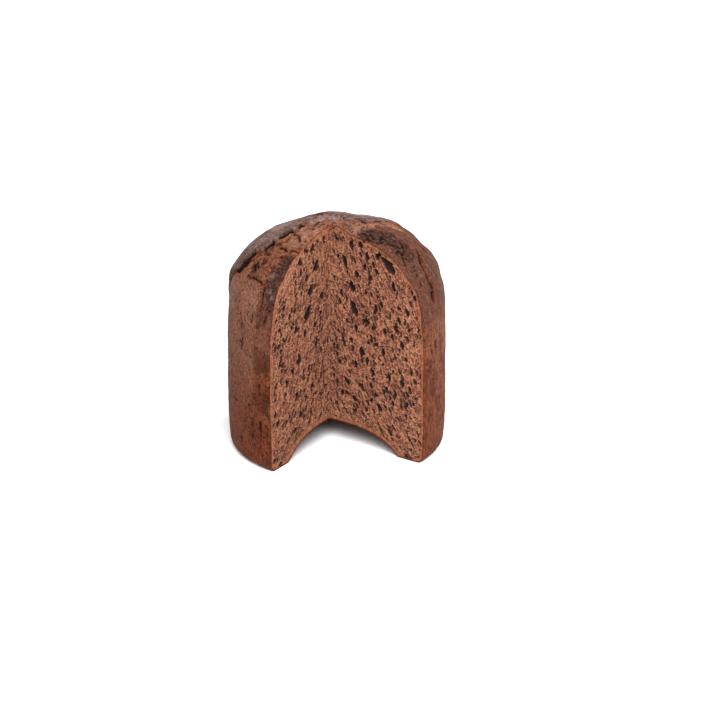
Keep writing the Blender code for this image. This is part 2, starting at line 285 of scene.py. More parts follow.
# How the far face shows the same bubbles: further out, more so lower down, and wider
FAR_STRETCH_TOP = 1.08
FAR_STRETCH_GAIN = 0.0032
FAR_STRETCH_FROM = 165.0
FAR_WIDENING = 1.3
# Small bubbles scattered over each face, and the room that all keep from each other
# and from the crust
SMALL_BUBBLES = 26
SMALL_OUT = (7.0, 74.0)
SMALL_UP = (30.0, 168.0)
SMALL_LENGTH = (4.2, 6.4)
SMALL_WIDTH = (2.4, 3.4)
SMALL_LEAN = (0.0, 25.0)
SMALL_CLEARANCE = 1.4
CRUST_MARGIN = 5.0
SEED = 7
NEAR_SEED = 21
FAR_SEED = 22

# Lines in which the cells are drawn out: their lean near the corner, and how it grows
# below one height and above another in millimetres
GRAIN_LEAN = 0.12
LOW_GRAIN = 70.0
LOW_LEAN = 0.0045
HIGH_GRAIN = 110.0
HIGH_LEAN = 0.00006
# Shares of the finer cells that are open, and of the wide ones that are smooth and closed
WIDE_OPEN = 0.26
OPEN_BELOW = 110.0
OPEN_GAIN = 0.0007
FAR_OPEN_GAIN = 0.04
SATIN = 0.24
THIN_OPEN = 0.42
# Wide and thin cells: spacing in millimetres, squeeze of their height, and seed
WIDE_CELLS = (2.9, 0.56, 100)
THIN_CELLS = (1.55, 0.72, 200)
CELL_JITTER = (0.08, 0.92)
# Bubbles: how blunt their tips and sides are, how they narrow, and how steep their floor is
BUBBLE_TIP = 1.8
BUBBLE_SIDE = 1.5
BUBBLE_NARROWING = 0.35
BUBBLE_FLOOR = 0.42
DEEPEST_BUBBLE = 6.0

# How much of the light the two surfaces mirror
CRUST_SHEEN = 0.03
CRUMB_SHEEN = 0.05
FLOOR_REACH = 8.0
# Soft lamps: size in metres, azimuth and elevation in degrees, and distance in metres
LAMPS = {"key": (1.0, 38.0, 50.0, 1.3), "fill": (1.0, 150.0, 28.0, 1.4)}
# Camera fitted to the photograph, and the point that it looks at
CAMERA_DISTANCE = 30.0 * RADIUS
CAMERA_ELEVATION = math.radians(23.0)
CAMERA_AZIMUTH = math.radians(34.2)
CAMERA_LENS = 161.55
AIM_HEIGHT = 1.05 * RADIUS
AIM_RIGHT = 18.39 * MM
AIM_DOWN = 20.52 * MM


def smooth(value, low, high):
    """Rise from 0 to 1 between two values, level at both ends."""
    share = np.clip((value - low) / (high - low), 0.0, 1.0)
    return share * share * (3.0 - 2.0 * share)


def bell(distance, width):
    """Fall from 1 at no distance to nearly 0 at twice the width."""
    return np.exp(-((distance / width) ** 2))


def highest(layers):
    """The largest of several layers at each point."""
    return np.max(list(layers), axis=0)


def off_angle(angle, middle):
    """Angle from a middle one, between -180 and 180 degrees."""
    return (angle - middle + 180.0) % 360.0 - 180.0


def crown_height(reach):
    """Height of the plain crown at a distance from the axis."""
    share = np.minimum(reach / RADIUS, 1.0) ** CROWN_ROUNDNESS
    return SHOULDER + (HEIGHT - SHOULDER) * (1.0 - share) ** (1.0 / CROWN_FULLNESS)


def wall_reach(height):
    """Distance of the plain loaf's outside from the axis at a height."""
    share = max(height - SHOULDER, 0.0) / (HEIGHT - SHOULDER)
    return RADIUS * (1.0 - min(share, 1.0) ** CROWN_FULLNESS) ** (1.0 / CROWN_ROUNDNESS)


def arch_height(reach):
    """Height of the arched base at a distance from the axis."""
    return BASE_ARCH * (1.0 - np.minimum(reach / BASE_ARCH_REACH, 1.0) ** BASE_ARCH_POWER)


def crown_spots(places):
    """Points on the plain crown for angles in degrees and distances in millimetres."""
    turned = np.radians([place[0] for place in places])
    reach = np.array([place[1] for place in places], float) * MM
    return np.stack([reach * np.cos(turned), reach * np.sin(turned), crown_height(reach)], 1)


def away_from(points, turned, far):
    """Distance of each point from one place of the crown."""
    return np.linalg.norm(points - crown_spots(((turned, far),))[0], axis=1)


def path_distance(points, places):
    """Distance of each point from a path of crown places."""
    best = np.full(len(points), 1.0)
    path = crown_spots(places)
    for start, end in zip(path, path[1:]):
        run = end - start
        offset = points - start
        share = np.clip(offset @ run / (run @ run), 0.0, 1.0)
        best = np.minimum(best, np.linalg.norm(offset - share[:, None] * run, axis=1))
    return best


def lumps(points, scale, seed=0.0):
    """Smooth noise between about -1 and 1 at each point."""
    moved = (points / scale + seed).tolist()
    return np.fromiter((noise.noise(place) for place in moved), float, len(moved))


def crust_field(points):
    """Relief of the crust at points of the plain loaf, and the finishes it has there."""
    high = points[:, 2]
    reach = np.hypot(points[:, 0], points[:, 1])
    angle = np.degrees(np.arctan2(points[:, 1], points[:, 0]))
    grain = {name: lumps(points, size * MM, seed) for name, (size, seed) in GRAINS.items()}
    coarse = grain["coarse"]
    middle = grain["middle"]
    on_crown = smooth(high, CROWN_START, CROWN_WHOLE)
    near_top = 1.0 - smooth(reach, *TOP_REACH)

    # Slow swelling of the whole loaf
    out = BARREL * np.sin(math.pi * np.minimum(high / SHOULDER, 1.0))
    out += SWELL * lumps(points, SWELL_SCALE)
    out += LUMP * on_crown * lumps(points, LUMP_SCALE, np.array(LUMP_SHIFT))
    out += KNOB * on_crown * lumps(points, KNOB_SCALE)
    near_cut = highest(bell(angle - cut, CUT_SAG_ANGLE) for cut in CUT_ANGLES)
    out -= CUT_SAG * near_cut * on_crown
    for turned, far, width, depth in DENTS:
        out -= depth * MM * bell(away_from(points, turned, far), width * MM)

    # Plate, and the split along its torn edge
    edge = path_distance(points, PLATE_EDGE)
    ragged = EDGE_RAGGED[0] * coarse + EDGE_RAGGED[1] * middle
    edge = np.where(on_plate(points), edge, -edge) + ragged * MM
    turned = off_angle(angle, PLATE_HIGH_ANGLE)
    rise = PLATE_LOW_SHARE + (1.0 - PLATE_LOW_SHARE) * bell(turned, PLATE_HIGH_SPREAD)
    out += PLATE_RISE * rise * on_crown * smooth(edge, *LIP) * bell(edge, PLATE_FADE)
    opening = GAPE + GAPE_GRAIN * grain["gape"]
    for turned, far, spread, share in GAPS:
        opening = opening + share * bell(away_from(points, turned, far), spread * MM)
    opening = np.clip(opening, *GAPE_LIMITS)
    split_width = SPLIT_WIDTH * (0.5 + opening)
    split = bell(edge + 0.7 * split_width, split_width) * on_crown
    out -= SPLIT_DEPTH * split * opening
    tear = bell(edge + 1.2 * SPLIT_WIDTH, 1.6 * SPLIT_WIDTH) * on_crown

    # Folds, clefts, and the creases of the wall
    out -= FOLD_DEPTH * highest(bell(path_distance(points, fold), FOLD_WIDTH) for fold in FOLDS)
    cleft = np.zeros(len(points))
    for places, width, depth in CLEFTS:
        away = path_distance(points, places) + 0.5 * middle * MM
        line = bell(away, width * MM) * np.clip(0.8 + 0.7 * coarse, 0.2, 1.0)
        out -= depth * MM * line
        cleft = np.maximum(cleft, line)
        tear = np.maximum(tear, CLEFT_TEAR * bell(away, CLEFT_TEAR_WIDTH * width * MM))
    for turned, middle_high, half, width in MARKS:
        aside = along_wall(angle, turned) + (middle + 1.4 * coarse) * MM
        above = np.maximum(np.abs(high - middle_high * MM) - half * MM, 0.0)
        line = bell(np.hypot(aside, above), width * MM)
        out -= MARK_DEPTH * MM * line
        cleft = np.maximum(cleft, 0.9 * line * np.clip(0.8 + 0.9 * middle, 0.3, 1.0))
    stains = []
    for turned, middle_high, spread in STAINS:
        away = np.hypot(along_wall(angle, turned), high - middle_high * MM) / MM + 5.0 * coarse
        stains.append(1.0 - smooth(away, 0.45 * spread, 1.15 * spread))

    # Hollow, pitted patch, dark grey patch and its painted highlights
    turned, far, spread, depth = HOLLOW
    away = away_from(points, turned, far) / MM + 0.9 * middle
    hollow = 1.0 - smooth(away, 0.7 * spread, 1.1 * spread)
    out -= depth * MM * hollow * (1.0 + 0.5 * grain["grit"])
    scorch = patch(points, SCORCHED, SCORCH_REACH) * smooth(-edge, -1.0 * MM, 2.0 * MM)
    pit = smooth(grain["pit"], 0.10, 0.36) * scorch
    out -= (PIT_DEPTH * pit - SCORCH_RIPPLE * scorch * middle) * MM
    sooty = patch(points, DARK_GREY_PATCH, DARK_GREY_REACH)
    # Painted highlights on the smooth dark grey patch
    smear = highest(bell(away_from(points, turned, far), spread * MM)
                    for turned, far, spread in PATCH_HIGHLIGHTS) * np.clip(0.7 + 1.5 * middle, 0.0, 1.0)

    # Torn dough with its knots, bare at the right apart from the tan ridge
    bare = smooth(np.cos(np.radians(angle - BARE_ANGLE)), 0.2, 0.7)
    bare = bare * smooth(reach + 4.0 * coarse * MM, *BARE_REACH)
    ridge = patch(points, TAN_RIDGE, RIDGE_REACH)
    past_mound = smooth(reach + 1.5 * coarse * MM, *MOUND_REACH)
    torn = on_crown * smooth(-edge, 0.0, 1.2 * MM) * (1.0 - scorch) * (1.0 - 0.9 * sooty)
    torn = torn * (1.0 - 0.92 * bare * (1.0 - ridge)) * (1.0 - past_mound)
    torn = np.maximum(torn, ridge)
    turned = off_angle(angle, MOUND_ANGLE)
    mound = smooth(turned + 16.0 * coarse, *MOUND_LEFT) * (1.0 - smooth(turned, *MOUND_RIGHT))
    mound = mound * past_mound
    crease = bell(grain["crease"], 0.07) * smooth(coarse, 0.0, 0.3) * near_top
    knots = 0.5 + 0.9 * grain["knots"] + 0.35 * middle
    knots = np.clip(knots - 0.7 * crease, 0.0, 1.0)
    knotted = (KNOT_DEPTH + KNOT_GAIN * near_top) * (knots - 0.5)
    out += torn * (knotted + 0.35 * middle + 0.22 * grain["grit"]) * MM

    # Wrinkles and pores of the wall
    size, seed, squeeze = WRINKLE
    wrinkle = lumps(points * np.array([1.0, 1.0, squeeze]), size * MM, seed)
    pore = smooth(grain["pore"], 0.34, 0.5)
    wall = WRINKLE_DEPTH * wrinkle + WALL_LUMP * coarse - PORE_DEPTH * pore
    out += (1.0 - on_crown) * wall * MM

    foot = smooth(high + 12.0 * (coarse + 0.7 * middle) * MM, CROWN_START, CROWN_WHOLE)
    cap = 0.92 * patch(points, CAP, CAP_REACH)
    finishes = {
        "plate": np.maximum(smooth(edge, 0.0, 0.8 * MM) * foot * (1.0 - ridge), cap),
        "border": bell(edge - BORDER_MIDDLE, PLATE_BORDER) * (edge > 0.0),
        "split": np.clip(1.6 * split, 0.0, 1.0) * smooth(opening, 0.15, 0.6),
        "tear": np.clip(tear, 0.0, 1.0),
        "torn": torn,
        "knots": knots,
        "cleft": cleft,
        "scorch": scorch,
        "pit": pit,
        "sooty": sooty,
        "smear": smear,
        "hollow": hollow,
        "speck": smooth(grain["speck"], 0.05, 0.25) * hollow,
        "crown": on_crown * (1.0 - mound),
        "mound": mound,
        "top": np.maximum(near_top, ridge),
        "stain": highest(stains),
    }
    return out * smooth(high, 0.0, BASE_CALM), finishes


def along_wall(angle, turned):
    """Distance along the wall, in metres, of angles from a middle one in degrees."""
    return np.radians(off_angle(angle, turned)) * RADIUS


def on_plate(points):
    """Whether each point lies within the grey plate's outline, seen from above."""
    places = crown_spots(PLATE_EDGE + PLATE_BACK)[:, :2]
    inside = np.zeros(len(points), bool)
    for start, end in zip(places, np.roll(places, -1, axis=0)):
        if start[1] == end[1]:
            continue
        crosses = (start[1] > points[:, 1]) != (end[1] > points[:, 1])
        share = (points[:, 1] - start[1]) / (end[1] - start[1])
        inside ^= crosses & (points[:, 0] < start[0] + share * (end[0] - start[0]))
    return inside


def patch(points, places, reach):
    """Ragged patch of the crown round a path, from 1 inside to 0 beyond its reach in mm."""
    away = path_distance(points, places) / MM
    away += 1.8 * lumps(points, 5.0 * MM, 4.0) + 0.9 * lumps(points, 1.8 * MM, 14.0)
    return 1.0 - smooth(away, *reach)


def loaf_profile():
    """Half outline of the plain loaf, from the top of the crown to the middle of the base."""
    points = []
    for row in range(CROWN_ROWS):
        reach = RADIUS * math.sin(0.5 * math.pi * row / CROWN_ROWS)
        points.append((reach, float(crown_height(reach))))
    for row in range(WALL_ROWS + 1):
        points.append((RADIUS, SHOULDER + (BASE_CORNER - SHOULDER) * row / WALL_ROWS))
    for row in range(1, CORNER_ROWS + 1):
        turned = 0.5 * math.pi * row / CORNER_ROWS
        points.append((RADIUS - BASE_CORNER * (1.0 - math.cos(turned)),
                       BASE_CORNER * (1.0 - math.sin(turned))))
    for row in range(ARCH_ROWS + 1):
        reach = BASE_ARCH_REACH * (1.0 - row / ARCH_ROWS)
        points.append((reach, float(arch_height(reach))))
    return points


def onto_loaf(points):
    """Move a plain three-quarter turn so that its ends lie in the two cut planes."""
    reach = np.hypot(points[:, 0], points[:, 1])
    turned = np.arctan2(points[:, 1], points[:, 0]) % (2.0 * math.pi)
    share = np.clip(turned / CUT_TURN, 0.0, 1.0)
    share = share - END_CROWDING * 0.5 / math.pi * np.sin(2.0 * math.pi * share)
    near_axis = 1.0 - smooth(reach, 0.0, CORNER_BLEND)
    middle_x = CUT.x * near_axis
    middle_y = CUT.y * near_axis
    safe = np.maximum(reach, 1e-9)
    first = np.arcsin(np.clip((CUT.y - middle_y) / safe, -1.0, 1.0))
    last = CUT_TURN - np.arcsin(np.clip((middle_x - CUT.x) / safe, -1.0, 1.0))
    angle = first + (last - first) * share
    placed = points.copy()
    placed[:, 0] = middle_x + reach * np.cos(angle)
    placed[:, 1] = middle_y + reach * np.sin(angle)
    from_axis = np.hypot(placed[:, 0], placed[:, 1])
    upper = (points[:, 2] > SHOULDER) & (reach < RADIUS * 0.9999)
    lower = (points[:, 2] < 1.1 * BASE_ARCH) & (reach < BASE_ARCH_REACH)
    placed[upper, 2] = crown_height(from_axis[upper])
    placed[lower, 2] = arch_height(from_axis[lower])
    return placed


def coordinates(shape):
    """A bmesh's points as an array."""
    return np.array([vert.co[:] for vert in shape.verts])


def move_to(shape, places):
    """Give a bmesh's points new places."""
    for vert, place in zip(shape.verts, places.tolist()):
        vert.co = place


def keep_values(shape, values):
    """Keep numbers at a bmesh's points, in layers that its material reads by their names."""
    for name, numbers in values.items():
        layer = shape.verts.layers.float[name]
        for vert, number in zip(shape.verts, numbers.tolist()):
            vert[layer] = number


def finished(name, shape, material):
    """Turn a bmesh into a piece that rides on the loaf and stands for its solid."""
    mesh = bpy.data.meshes.new(name)
    shape.to_mesh(mesh)
    shape.free()
    mesh.shade_smooth()
    mesh.materials.append(material)
    piece = bpy.data.objects.new(name, mesh)
    bpy.context.scene.collection.objects.link(piece)
    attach(piece, "root")
    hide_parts(NODE)
    return piece


def turned_skin():
    """Outside of the loaf as a three-quarter turn, with each point's row kept."""
    shape = bmesh.new()
    rows = shape.verts.layers.int.new("row")
    for name in CRUST_FINISHES:
        shape.verts.layers.float.new(name)
    corners = []
    for row, (reach, height) in enumerate(loaf_profile()):
        vert = shape.verts.new((reach, 0.0, height))
        vert[rows] = row
        corners.append(vert)
    edges = [shape.edges.new(pair) for pair in zip(corners, corners[1:])]
    bmesh.ops.spin(shape, geom=corners + edges, cent=(0.0, 0.0, 0.0), axis=(0.0, 0.0, 1.0),
                   angle=CUT_TURN, steps=CRUST_STEPS, use_merge=False, use_duplicate=False)
    bmesh.ops.remove_doubles(shape, verts=shape.verts, dist=1e-7)
    return shape


def flatten_cuts(before, after):
    """Hold the points of the two cut edges in their planes."""
    near = (np.abs(before[:, 1] - CUT.y) < SAME_PLACE) & (before[:, 0] > CUT.x - SAME_PLACE)
    far = (np.abs(before[:, 0] - CUT.x) < SAME_PLACE) & (before[:, 1] < CUT.y + SAME_PLACE)
    after[near, 1] = CUT.y
    after[far, 0] = CUT.x
    return near, far


def cut_outlines(shape, near, far):
    """The near and far cut edges, each in order from the crown to the base."""
    rows = shape.verts.layers.int["row"]
    verts = list(shape.verts)
    ordered = []
    for chosen in (near, far):
        line = [verts[index] for index in np.nonzero(chosen)[0]]
        ordered.append(sorted(line, key=lambda vert: vert[rows]))
    return ordered


def inset_places(line, into):
    """Where the points of a cut edge go for the rim and for the tray's floor."""
    places = np.array([vert.co[:] for vert in line])
    run = np.gradient(places, axis=0)
    run /= np.linalg.norm(run, axis=1)[:, None]
    inward = np.cross(np.array(into), run)
    middle = places.mean(axis=0)
    flip = np.sign(np.einsum("ij,ij->i", inward, middle - places).sum())
    inward *= flip
    inward[0] = (0.0, 0.0, -1.0)
    inward[-1] = (0.0, 0.0, 1.0)
    return places + inward * RIM, inward


def close_cuts(shape, outlines):
    """Fold the cut edges into a rim and a tray, and close the tray."""
    layers = shape.verts.layers.float
    index_of = {}
    rim_places = []
    floor_places = []
    for line, into in zip(outlines, (INTO_NEAR, INTO_FAR)):
        rim, inward = inset_places(line, into)
        for index, vert in enumerate(line):
            pole = index in (0, len(line) - 1)
            deep = Vector(INTO_NEAR) + Vector(INTO_FAR) if pole else Vector(into)
            index_of[vert] = len(rim_places)
            rim_places.append(Vector(rim[index]))
            floor_places.append(rim_places[-1] + deep * TRAY + Vector(inward[index]) * TRAY_TAPER)
    edges = [edge for edge in shape.edges if edge.is_boundary]
    for places in (rim_places, floor_places):
        grown = bmesh.ops.extrude_edge_only(shape, edges=edges)["geom"]
        fresh = {item for item in grown if isinstance(item, bmesh.types.BMVert)}
        parents = index_of
        index_of = {vert: parents[edge.other_vert(vert)] for vert in fresh
                    for edge in vert.link_edges if edge.other_vert(vert) in parents}
        for vert, index in index_of.items():
            vert.co = places[index]
            for name in CRUST_FINISHES:
                vert[layers[name]] = float(name == "rim")
        edges = [edge for edge in grown if isinstance(edge, bmesh.types.BMEdge)
                 and edge.verts[0] in fresh and edge.verts[1] in fresh]
    corner = CUT.to_2d() + Vector((-TRAY, TRAY))
    poles = [vert for vert in index_of if (vert.co.to_2d() - corner).length < SAME_PLACE]
    seam = shape.edges.new(poles)
    near = set(poles)
    near.update(vert for vert, index in index_of.items() if index < len(outlines[0]))
    for side in (True, False):
        ring = [edge for edge in edges if near.issuperset(edge.verts) == side]
        bmesh.ops.contextual_create(shape, geom=ring + [seam])


def build_crust():
    """Whole crust: relief on the skin, then the cut rim and the tray behind it."""
    shape = turned_skin()
    plain = onto_loaf(coordinates(shape))
    move_to(shape, plain)
    shape.normal_update()
    normals = np.array([vert.normal[:] for vert in shape.verts])
    outward = np.sign((normals[:, :2] * plain[:, :2]).sum())
    relief, finishes = crust_field(plain)
    reach = np.hypot(plain[:, 0], plain[:, 1])
    under = (plain[:, 2] < 1.1 * BASE_ARCH) & (reach < RADIUS - BASE_CORNER)
    relief[under] = 0.0
    placed = plain + normals * outward * relief[:, None]
    near, far = flatten_cuts(plain, placed)
    placed[:, 2] = np.maximum(placed[:, 2], 0.0)
    move_to(shape, placed)
    keep_values(shape, finishes)
    outlines = cut_outlines(shape, near, far)
    lines = [np.array([vert.co[:] for vert in line]) for line in outlines]
    close_cuts(shape, outlines)
    bmesh.ops.recalc_face_normals(shape, faces=shape.faces)
    return shape, lines


def fits(bubble):
    """Whether a bubble keeps clear of the crust that edges the cut face."""
    out, up, length, width, lean = bubble
    swing = abs(math.sin(math.radians(lean)))
    outer = out + 0.5 * length * swing + 0.5 * width + CRUST_MARGIN
    upper = up + 0.4 * length
    return outer * MM - CUT.y < wall_reach(upper * MM) and upper < HEIGHT / MM - CRUST_MARGIN


def scattered_bubbles(big):
    """Small bubbles at seeded places on a face, clear of the big ones and of each other."""
    draw = random.Random(SEED)
    placed = []
    while len(placed) < SMALL_BUBBLES:
        out = draw.uniform(*SMALL_OUT)
        up = draw.uniform(*SMALL_UP)
        length = draw.uniform(*SMALL_LENGTH)
        width = draw.uniform(*SMALL_WIDTH)
        lean = draw.uniform(*SMALL_LEAN)
        clear = all(math.hypot(out - b[0], up - b[1]) > SMALL_CLEARANCE + 0.5 * (length + b[2])
                    for b in big + placed)
        if clear and fits((out, up, length, width, lean)):
            placed.append((out, up, length, width, lean))
    return placed


def stretched(bubble):
    """The same bubble as the far face shows it."""
    out, up, length, width, lean = bubble
    gain = FAR_STRETCH_TOP + FAR_STRETCH_GAIN * (FAR_STRETCH_FROM - up)
    return (out * gain, up, length, width * FAR_WIDENING, lean)


def grain_distance(out, up):
    """Distance from the corner, followed along the lines in which the cells are drawn out."""
    low = np.maximum(LOW_GRAIN - up, 0.0)
    high = np.maximum(up - HIGH_GRAIN, 0.0)
    return (out + GRAIN_LEAN * up - LOW_LEAN * low ** 2
            + HIGH_LEAN * np.maximum(out, 0.0) * high ** 2)


def cell_pattern(across, along, spacing, seed):
    """Seeded cells: how far inside its walls each place is, and a number for its cell."""
    draw = np.random.default_rng(seed)
    column = np.floor(across / spacing).astype(int)
    row = np.floor(along / spacing).astype(int)
    column_low = column.min() - 1
    row_low = row.min() - 1
    size = (row.max() - row_low + 2, column.max() - column_low + 2)
    aside = draw.uniform(*CELL_JITTER, size)
    above = draw.uniform(*CELL_JITTER, size)
    numbers = draw.uniform(0.0, 1.0, size)
    first = np.full(across.shape, 9.0 * spacing)
    second = first.copy()
    number = np.zeros(across.shape)
    for side in (-1, 0, 1):
        for rise in (-1, 0, 1):
            at = (row - row_low + rise, column - column_low + side)
            away = np.hypot((column + side + aside[at]) * spacing - across,
                            (row + rise + above[at]) * spacing - along)
            nearer = away < first
            second = np.where(nearer, first, np.minimum(second, away))
            number = np.where(nearer, numbers[at], number)
            first = np.where(nearer, away, first)
    return (second - first) / spacing, number


def press(out, up, field, bubble, depth, shade):
    """Press one opened bubble into the grids of depth and of painted shade."""
    place_out, place_up, length, width, lean = bubble
    size = 0.5 * length + 2.0
    columns = np.searchsorted(out[0], (place_out - size, place_out + size))
    rows = np.searchsorted(up[:, 0], (place_up - size, place_up + size))
    window = (slice(rows[0], rows[1]), slice(columns[0], columns[1]))
    side = 0.6 * field["warp_out"][window] + out[window] - place_out
    rise = 0.6 * field["warp_up"][window] + up[window] - place_up
    tilt = math.radians(lean)
    along = (rise * math.cos(tilt) - side * math.sin(tilt)) / (0.5 * length)
    across = (rise * math.sin(tilt) + side * math.cos(tilt)) / (0.5 * width)
    narrowing = 1.0 + BUBBLE_NARROWING * np.abs(along)
    lens = 1.0 - np.abs(along) ** BUBBLE_TIP - np.abs(across) ** BUBBLE_SIDE * narrowing
    pressed = {
        "depth": depth * np.clip(lens, 0.0, 1.0) ** BUBBLE_FLOOR,
        # Painted shade inside the bubble, darker than its depth alone would render
        "dark": shade * smooth(lens, -0.04, 0.06),
        "lip": bell(lens + 0.16, 0.18),
    }
    for name, layer in pressed.items():
        field[name][window] = np.maximum(field[name][window], layer)


def crumb_field(bubbles, seed, widening):
    """Grids of the crumb's depth in millimetres and of its finishes, for one face."""
    columns = int(round((CRUMB_WIDTH + PAST_CORNER) * MM / GRID))
    rows = int(round(CRUMB_TALL * MM / GRID))
    out, up = np.meshgrid(np.linspace(-PAST_CORNER, CRUMB_WIDTH, columns + 1),
                          np.linspace(0.0, CRUMB_TALL, rows + 1))
    flat = np.stack([out.ravel(), up.ravel(), np.full(out.size, seed * 10.0)], 1)

    def noised(scale, shift):
        return lumps(flat, scale, shift).reshape(out.shape)

    field = {
        "warp_out": 0.9 * noised(4.0, 1.0) + 0.5 * noised(1.6, 2.0),
        "warp_up": 0.9 * noised(4.0, 3.0) + 0.5 * noised(1.6, 4.0),
        "depth": np.zeros(out.shape),
        "dark": np.zeros(out.shape),
        "lip": np.zeros(out.shape),
    }
    draw = random.Random(seed)
    for bubble in bubbles:
        depth = min(0.95 * bubble[3], DEEPEST_BUBBLE)
        press(out, up, field, bubble, depth, draw.uniform(0.90, 1.05))
    across = grain_distance(out, up) / widening + 0.55 * field["warp_out"]
    along = up + 0.8 * field["warp_up"]
    cells = []
    for spacing, squeeze, shift in (WIDE_CELLS, THIN_CELLS):
        cells.append(cell_pattern(across, along * squeeze, spacing, seed + shift))
    (wide, wide_number), (thin, thin_number) = cells
    wide_in = smooth(wide, 0.04, 0.30)
    thin_in = smooth(thin, 0.05, 0.36)

    # Which cells the knife opened, and how much painted shade darkens each of them
    crowd = noised(15.0, 7.0)
    far_gain = FAR_OPEN_GAIN * (widening > 1.0)
    open_share = WIDE_OPEN + OPEN_GAIN * (OPEN_BELOW - up) + far_gain
    wide_open = wide_number < open_share + 0.10 * crowd
    satin = (wide_number > 1.0 - SATIN) & ~wide_open
    thin_open = (thin_number < THIN_OPEN + 0.18 * crowd) & ~wide_open & ~satin
    shade = 0.45 + 0.55 * ((wide_number * 37.0) % 1.0)
    thin_shade = 0.30 + 0.70 * ((thin_number * 53.0) % 1.0)
    # Painted shade in the bubbles and the opened cells
    dark = highest((field["dark"], wide_open * smooth(wide, 0.03, 0.16) * shade,
                    thin_open * smooth(thin, 0.05, 0.24) * thin_shade))
    depth = highest((field["depth"], 0.30 * thin_in * ~satin, 0.9 * satin * wide_in,
                     wide_open * wide_in * (0.9 + 1.5 * shade),
                     thin_open * thin_in * (0.5 + 0.7 * thin_shade)))
    web = np.clip((1.0 - thin_in) * ~satin + 1.0 - wide_in, 0.0, 1.0)
    web = web * np.clip(0.6 + noised(5.0, 8.0), 0.0, 1.0)
    web = np.maximum(web, 0.8 * field["lip"]) * (1.0 - dark)
    depth = depth + 0.16 * noised(0.9, 6.0) - 0.22 * web
    return out, up, depth, {"dark": dark, "red": satin * wide_in, "web": web}


def outline_distance(out, up, line, along):
    """Distance in millimetres of each grid point from a face's outline, positive inside."""
    start = np.array([CUT.x, CUT.y, 0.0])
    far_out = (line - start) @ np.array(along) / MM
    far_up = line[:, 2] / MM
    extra = np.linspace(-PAST_CORNER - 2.0, 0.0, CORNER_POINTS, endpoint=False)
    ring_out = np.concatenate([extra, far_out, extra[::-1]])
    ring_up = np.pad(far_up, CORNER_POINTS, mode="edge")
    tree = KDTree(len(ring_out))
    for index, place in enumerate(zip(ring_out, ring_up)):
        tree.insert((*place, 0.0), index)
    tree.balance()
    middle_out, middle_up = CRUMB_CENTRE
    ring_turn = np.arctan2(ring_up - middle_up, ring_out - middle_out)
    ring_reach = np.hypot(ring_up - middle_up, ring_out - middle_out)
    order = np.argsort(ring_turn)
    turned = np.arctan2(up - middle_up, out - middle_out)
    limit = np.interp(turned, ring_turn[order], ring_reach[order], period=2.0 * math.pi)
    inside = np.hypot(up - middle_up, out - middle_out) < limit
    flat = zip(out.ravel().tolist(), up.ravel().tolist())
    away = np.fromiter((tree.find((x, y, 0.0))[2] for x, y in flat), float, out.size)
    return np.where(inside, away.reshape(out.shape), -away.reshape(out.shape))


def build_crumb(line, along, into, bubbles, seed, widening):
    """One cut face of crumb: a grid pressed into cells, closed by sides and a back."""
    out, up, depth, finishes = crumb_field(bubbles, seed, widening)
    inset = outline_distance(out, up, line, along)
    dense = DENSE_EDGE * widening ** 2
    open_crumb = smooth(inset, DENSE_FROM, dense)
    depth = depth * (DENSE_RELIEF + (1.0 - DENSE_RELIEF) * open_crumb) + CRUMB_SINK
    finishes["dark"] = finishes["dark"] * smooth(inset, 0.45 * dense, 0.9 * dense)
    finishes["red"] = finishes["red"] * open_crumb
    finishes["edge"] = (1.0 - smooth(inset, 0.8, dense + 1.5)) / widening ** 2
    shape = bmesh.new()
    for name in CRUMB_FINISHES:
        shape.verts.layers.float.new(name)
    bmesh.ops.create_grid(shape, x_segments=out.shape[1] - 1, y_segments=out.shape[0] - 1,
                          size=1.0)
    start = np.array([CUT.x, CUT.y, 0.0])
    depth = np.clip(depth, -HIGHEST_STRAND, CRUMB_THICK - 1.0)
    places = start + (out[..., None] * np.array(along) + up[..., None] * np.array([0, 0, 1.0])
                      + depth[..., None] * np.array(into)) * MM
    move_to(shape, places.reshape(-1, 3))
    keep_values(shape, {name: grid.ravel() for name, grid in finishes.items()})
    inside = inset >= UNDER_RIM
    squares = inside[1:, 1:] & inside[1:, :-1] & inside[:-1, 1:] & inside[:-1, :-1]
    used = np.zeros(inside.shape, bool)
    for rows in (slice(1, None), slice(None, -1)):
        for columns in (slice(1, None), slice(None, -1)):
            used[rows, columns] |= squares
    verts = list(shape.verts)
    doomed = [verts[index] for index in np.nonzero(~used.ravel())[0]]
    bmesh.ops.delete(shape, geom=doomed, context="VERTS")
    edges = [edge for edge in shape.edges if edge.is_boundary]
    grown = bmesh.ops.extrude_edge_only(shape, edges=edges)["geom"]
    fresh = [item for item in grown if isinstance(item, bmesh.types.BMVert)]
    middle = Vector(start) + Vector(along) * CRUMB_CENTRE[0] * MM
    middle.z = CRUMB_CENTRE[1] * MM
    for vert in fresh:
        depth_now = (vert.co - middle).dot(Vector(into))
        flat = vert.co - Vector(into) * depth_now
        vert.co = flat.lerp(middle, CRUMB_TAPER) + Vector(into) * CRUMB_THICK * MM
    ring = [edge for edge in grown if isinstance(edge, bmesh.types.BMEdge)
            and edge.is_boundary]
    bmesh.ops.contextual_create(shape, geom=ring)
    bmesh.ops.triangulate(shape, faces=[face for face in shape.faces if len(face.verts) > 4])
    bmesh.ops.recalc_face_normals(shape, faces=shape.faces)
    return shape


def summed(operation, swapped=False):
    """An operator of a wire: it adds a Math node for the wire and another number."""
    def operate(wire, other):
        pair = (other, wire) if swapped else (wire, other)
        return wire.paint.node("ShaderNodeMath", {"operation": operation}, dict(enumerate(pair)))
    return operate


